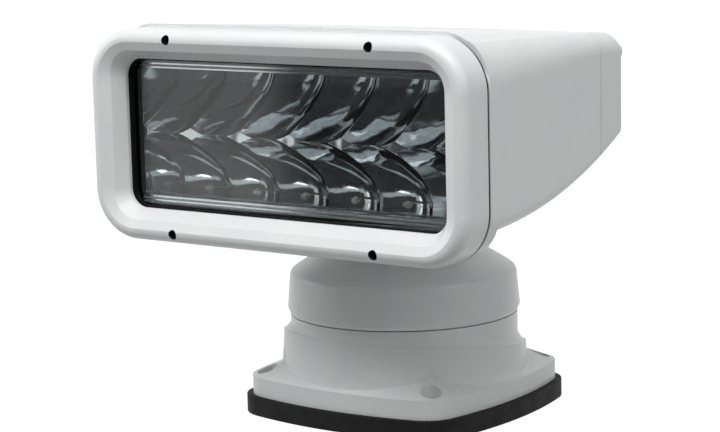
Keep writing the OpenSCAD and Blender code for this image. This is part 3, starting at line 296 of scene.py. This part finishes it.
def ease_corners(bm):
    """Draws the housing's upper corners on to a rounding that is as wide as the flange's at the front."""
    for step in range(CORNER_CUTS):
        inward = step * CUT_SPACING
        for hand in (-1, 1):
            cut(bm, (hand * (HOUSING_SIDE - inward), 0, 0), (1, 0, 0))
        cut(bm, (0, 0, HEAD_Z + HOUSING_TOP - inward), (0, 0, 1))
        cut(bm, (0, HEAD_FRONT + FLANGE_BACK + step * CUT_DEPTH, 0), (0, 1, 0))
    for vert in bm.verts:
        depth = vert.co.y - HEAD_FRONT - FLANGE_BACK
        across, rise = abs(vert.co.x), vert.co.z - HEAD_Z
        side = HOUSING_SIDE - depth * SIDE_DRAFT
        top = HOUSING_TOP - depth * TOP_FALL
        share = min(max(depth / (COVER_START - FLANGE_BACK), 0), 1)
        wide = FRONT_CORNER + (REAR_CORNER - FRONT_CORNER) * share
        # How deep the point lies under the outside of the solid
        tight = Vector((across - side + REAR_CORNER, rise - top + REAR_CORNER))
        under = REAR_CORNER - tight.length if min(tight) > 0 else min(side - across, top - rise)
        # It goes as deep under the wider rounding, along the line from that rounding's centre
        spoke = Vector((across - side + wide, rise - top + wide))
        if min(spoke) > 0 and spoke.length > wide - max(under, 0):
            spoke *= (wide - max(under, 0)) / spoke.length
            vert.co.x = math.copysign(side - wide + spoke.x, vert.co.x)
            vert.co.z = HEAD_Z + top - wide + spoke.y


def thin_lip(bm):
    """Sets the window seal's lip back to its flange, so that only a narrow dark line shows beside the bezel."""
    for vert in bm.verts:
        vert.co.y = max(vert.co.y, HEAD_FRONT + SEAL_BACK)
    bmesh.ops.dissolve_degenerate(bm, dist=NO_LENGTH, edges=bm.edges)


def dressed(node, name, edge=0.0, sharp=35, shape=None):
    """A merged copy of a CAD node that stands for it, with its sharp edges broken by that many millimetres."""
    bm = merged_copy(node)
    if shape:
        shape(bm)
    piece = place(bm, node, name, sharp)
    if edge:
        broken = piece.modifiers.new("broken_edges", "BEVEL")
        broken.width = edge * MM
        broken.segments = 2
        broken.limit_method = "ANGLE"
        broken.angle_limit = BROKEN_FROM
        even = piece.modifiers.new("even_normals", "WEIGHTED_NORMAL")
        even.keep_sharp = True
    return piece


bezel_frame = dressed("bezel", "bezel_frame", edge=0.4, sharp=24)
# The faces within the screw pockets' radius get black nylon as painted shade, standing for the deep shadow inside
# the pockets
bezel_frame.data.materials.append(black_nylon)
for face in bezel_frame.data.polygons:
    from_screw = Vector((abs(face.center.x) - BEZEL_SCREW_X, abs(face.center.z - HEAD_Z) - BEZEL_SCREW_Z))
    if from_screw.length < POCKET_R:
        face.material_index = 1
dressed("main_housing", "housing_shell", edge=0.3, shape=ease_corners)
dressed("rear_cover", "rear_shell", edge=0.25)
dressed("turret_shell", "turret_cover", edge=1.1)
dressed("base_shell", "base_cover", edge=1.5)
dressed("mounting_pad", "rubber_foot", edge=1.2)
dressed("neck", "neck_post", edge=0.5)
dressed("lens_seal", "window_seal", shape=thin_lip)


def cup_depth_at(x, z):
    """Depth behind the front face of the cup that lies at a place of the front view."""
    column = min(max(round(x / CUP_PITCH + (CUP_COLUMNS - 1) / 2), 0), CUP_COLUMNS - 1)
    across = x - (column - (CUP_COLUMNS - 1) / 2) * CUP_PITCH
    down = CUP_AXIS - abs(z)
    return CUP_BACK - (across ** 2 + down ** 2) / (4 * CUP_FOCUS)


# A point this near a cup's form is on the cup, and one this near the front plane stays there
CUP_REACH = 0.2 * MM
CUP_LIP = 0.3 * MM
# A face that looks along the depth more than the first is no cup's, and more than the second a flat round them
LEVEL, FACING = 0.998, 0.9
# Ridges between cups from this angle are broken by this much
RIDGE_FROM = math.radians(28)
RIDGE_BREAK = 0.16 * MM


def mirror_array():
    """The reflectors with their cups made finer, their ridges broken and the flats round them etched."""
    bm = merged_copy("reflector_array")

    def on_cup(vert):
        depth = vert.co.y - HEAD_FRONT
        return abs(depth - cup_depth_at(vert.co.x, vert.co.z - HEAD_Z)) < CUP_REACH

    cups = {f for f in bm.faces if abs(f.normal.y) < LEVEL and all(on_cup(v) for v in f.verts)}
    fine = [e for e in bm.edges if any(f in cups for f in e.link_faces)]
    bmesh.ops.subdivide_edges(bm, edges=fine, cuts=2, use_grid_fill=True)
    for vert in bm.verts:
        if on_cup(vert) and vert.co.y - HEAD_FRONT > CUP_FRONT + CUP_LIP:
            vert.co.y = HEAD_FRONT + cup_depth_at(vert.co.x, vert.co.z - HEAD_Z)
    bmesh.ops.recalc_face_normals(bm, faces=bm.faces)
    ridges = [e for e in bm.edges if len(e.link_faces) == 2 and e.calc_face_angle() > RIDGE_FROM]
    bmesh.ops.bevel(bm, geom=ridges, offset=RIDGE_BREAK, affect="EDGES", segments=2, profile=0.5, material=-1,
                    clamp_overlap=True)
    piece = place(bm, "reflector_array", "mirror_array", sharp=15)
    piece.data.materials.append(satin_film)
    for face in piece.data.polygons:
        out = abs(face.center.z - HEAD_Z) > CUP_AXIS or abs(face.center.x) > CUP_COLUMNS * CUP_PITCH / 2
        if out and face.normal.y < -FACING:
            face.material_index = 1


mirror_array()

# The vent cap's place on the rear cover, its ends as depths, its radii, the slope of its crown and its broken rim
VENT_X = 103 * MM
VENT_RISE = 36.5 * MM
VENT_SEAT = 160 * MM
VENT_CROWN = 172 * MM
VENT_R = 5 * MM
VENT_STEM_R = 3 * MM
VENT_SLOPE = 1.4 * MM
RIM_FROM = math.radians(25)
RIM_BREAK = 0.5 * MM


def vent_cap():
    """The rear breather's round cap, turned from a few points and broken at its rim."""
    seat, crown = HEAD_FRONT + VENT_SEAT, HEAD_FRONT + VENT_CROWN
    outline = [(0, seat), (VENT_STEM_R, seat), (VENT_R, seat),
               (VENT_R, crown - VENT_SLOPE), (VENT_R - VENT_SLOPE, crown), (0, crown)]
    bm = bmesh.new()
    profile = [bm.verts.new((out, back, 0)) for out, back in outline]
    line = [bm.edges.new(pair) for pair in zip(profile, profile[1:])]
    bmesh.ops.spin(bm, geom=profile + line, cent=(0, 0, 0), axis=(0, 1, 0), angle=2 * math.pi, steps=48,
                   use_merge=True)
    bmesh.ops.remove_doubles(bm, verts=bm.verts, dist=SAME_POINT)
    bmesh.ops.recalc_face_normals(bm, faces=bm.faces)
    rims = [e for e in bm.edges if len(e.link_faces) == 2 and e.calc_face_angle() > RIM_FROM]
    bmesh.ops.bevel(bm, geom=rims, offset=RIM_BREAK, affect="EDGES", segments=3, profile=0.5, material=-1)
    bmesh.ops.translate(bm, verts=bm.verts, vec=(VENT_X, 0, HEAD_Z + VENT_RISE))
    place(bm, "vent_plug", "vent_cap")


vent_cap()


# Stage, light and camera

def stage_piece(bm, name, material):
    """Makes a bmesh an object with that material, which isn't part of the object."""
    mesh = bpy.data.meshes.new(name)
    bm.to_mesh(mesh)
    bm.free()
    mesh.materials.append(material)
    piece = bpy.data.objects.new(name, mesh)
    bpy.context.scene.collection.objects.link(piece)
    return piece


def seen(tree):
    """1 for rays that show the stage to the eye, directly or in metal and glass."""
    path = put(tree, "LightPath").outputs
    first = put(tree, "Math", {0: path["Is Camera Ray"], 1: path["Is Glossy Ray"]}, operation="MAXIMUM")
    both = put(tree, "Math", {0: first.outputs[0], 1: path["Is Transmission Ray"]}, operation="MAXIMUM")
    return both.outputs[0]


# Pale matt floor that reads white to the eye and keeps a soft shadow, a hair below the rubber foot
FLOOR_HALF = 4.0
FLOOR_Z = -0.0004
FLOOR_GLOW = 0.97
paper = bpy.data.materials.new("white_paper_floor")
tree = bare_tree(paper)
matt = put(tree, "BsdfDiffuse", {"Color": linear("909090")})
glow_level = put(tree, "Math", {0: seen(tree), 1: FLOOR_GLOW}, operation="MULTIPLY")
glow = put(tree, "Emission", {"Color": (1, 1, 1, 1), "Strength": glow_level.outputs[0]})
paper_sum = put(tree, "AddShader", {0: matt.outputs[0], 1: glow.outputs[0]})
put(tree, "OutputMaterial", {"Surface": paper_sum.outputs[0]})

bm = bmesh.new()
bmesh.ops.create_grid(bm, x_segments=1, y_segments=1, size=FLOOR_HALF)
bmesh.ops.translate(bm, verts=bm.verts, vec=(0, 0, FLOOR_Z))
stage_piece(bm, "studio_floor", paper)

# White surroundings to the eye, which light the object only a little
AMBIENT = 0.19
world = bpy.data.worlds.new("studio")
tree = bare_tree(world)
level = put(tree, "MapRange", {"Value": seen(tree), "To Min": AMBIENT, "To Max": 1.0})
sky = put(tree, "Background", {"Color": (1, 1, 1, 1), "Strength": level.outputs["Result"]})
put(tree, "OutputWorld", {"Surface": sky.outputs["Background"]})
bpy.context.scene.world = world


def softbox(name, at, aim, size, power):
    """A large soft area lamp, in metres and watts."""
    data = bpy.data.lights.new(name, "AREA")
    data.shape = "RECTANGLE"
    data.size, data.size_y = size
    data.energy = power
    lamp = bpy.data.objects.new(name, data)
    lamp.location = at
    lamp.rotation_euler = (Vector(aim) - Vector(at)).to_track_quat("-Z", "Y").to_euler()
    bpy.context.scene.collection.objects.link(lamp)


softbox("front_key", at=(0.2, -0.8, 1.42), aim=(0.0, -0.05, 0.15), size=(1.5, 0.9), power=20.5)
softbox("overhead", at=(0.0, 0.15, 1.5), aim=(0.0, 0.0, 0.15), size=(1.1, 1.1), power=0.6)
softbox("right_fill", at=(1.5, -0.1, 0.75), aim=(0.0, 0.0, 0.15), size=(0.8, 0.8), power=3.0)
softbox("left_fill", at=(-1.4, -0.5, 0.6), aim=(0.0, 0.0, 0.12), size=(0.8, 0.8), power=4.0)

# Black velvet cards on the stage, which only metal and glass see, as a photographer darkens a mirror.
# They are thin up to one upright plane beside the lens and grow dense beyond it.
CARD_FACING = (0.7802, -0.6257, 0.0)
CARD_EDGE = 0.058
CARD_LEFT, CARD_RIGHT = -1.9, 2.2
CARD_FRONT, CARD_REAR = -2.1, 0.6
CARD_TOP = 1.4
FLOOR_CARD_LEFT, FLOOR_CARD_REAR, FLOOR_CARD_Z = -0.3, -0.13, 0.002
velvet = bpy.data.materials.new("black_velvet_card")
tree = bare_tree(velvet)
on_card = put(tree, "TexCoord").outputs["Object"]
from_edge = put(tree, "VectorMath", {0: on_card, 1: CARD_FACING}, operation="DOT_PRODUCT").outputs["Value"]
fade = put(tree, "MapRange", {"Value": from_edge, "From Min": CARD_EDGE - 0.03, "From Max": CARD_EDGE + 0.05,
                              "To Min": 0.22, "To Max": 0.93}, interpolation_type="SMOOTHSTEP")
bare = put(tree, "BsdfTransparent")
cloth = put(tree, "BsdfDiffuse", {"Color": linear("050505")})
thin_cloth = put(tree, "MixShader", {"Fac": fade.outputs["Result"], 1: bare.outputs[0], 2: cloth.outputs[0]})
put(tree, "OutputMaterial", {"Surface": thin_cloth.outputs[0]})


def card(name, corners):
    """A flat black card between four corners."""
    bm = bmesh.new()
    bm.faces.new([bm.verts.new(c) for c in corners])
    flag = stage_piece(bm, name, velvet)
    flag.visible_camera = False
    flag.visible_diffuse = False
    flag.visible_shadow = False


card("floor_card", [
    (FLOOR_CARD_LEFT, FLOOR_CARD_REAR, FLOOR_CARD_Z), (CARD_RIGHT, FLOOR_CARD_REAR, FLOOR_CARD_Z),
    (CARD_RIGHT, CARD_FRONT, FLOOR_CARD_Z), (CARD_LEFT, CARD_FRONT, FLOOR_CARD_Z)])
card("front_card", [
    (CARD_LEFT, CARD_FRONT, 0.0), (CARD_RIGHT, CARD_FRONT, 0.0),
    (CARD_RIGHT, CARD_FRONT, CARD_TOP), (CARD_LEFT, CARD_FRONT, CARD_TOP)])
card("right_card", [
    (CARD_RIGHT, CARD_FRONT, 0.0), (CARD_RIGHT, CARD_REAR, 0.0),
    (CARD_RIGHT, CARD_REAR, CARD_TOP), (CARD_RIGHT, CARD_FRONT, CARD_TOP)])

# The camera as fitted to the photograph: its place, and the directions of its right, its top and its back
CAMERA_AT = (679.17 * MM, -967.90 * MM, 290.52 * MM)
CAMERA_RIGHT = (0.80919, 0.58708, -0.02339)
CAMERA_UP = (-0.07251, 0.13929, 0.98759)
CAMERA_BACK = (0.58305, -0.79746, 0.15528)
camera_data = bpy.data.cameras.new("photo_camera")
camera_data.lens = 109.39
camera_data.sensor_width = 36.0
camera_data.sensor_fit = "HORIZONTAL"
camera = bpy.data.objects.new("photo_camera", camera_data)
camera.matrix_world = Matrix((*zip(CAMERA_RIGHT, CAMERA_UP, CAMERA_BACK, CAMERA_AT), (0, 0, 0, 1)))
bpy.context.scene.collection.objects.link(camera)
bpy.context.scene.camera = camera
bpy.context.scene.view_settings.view_transform = "Standard"
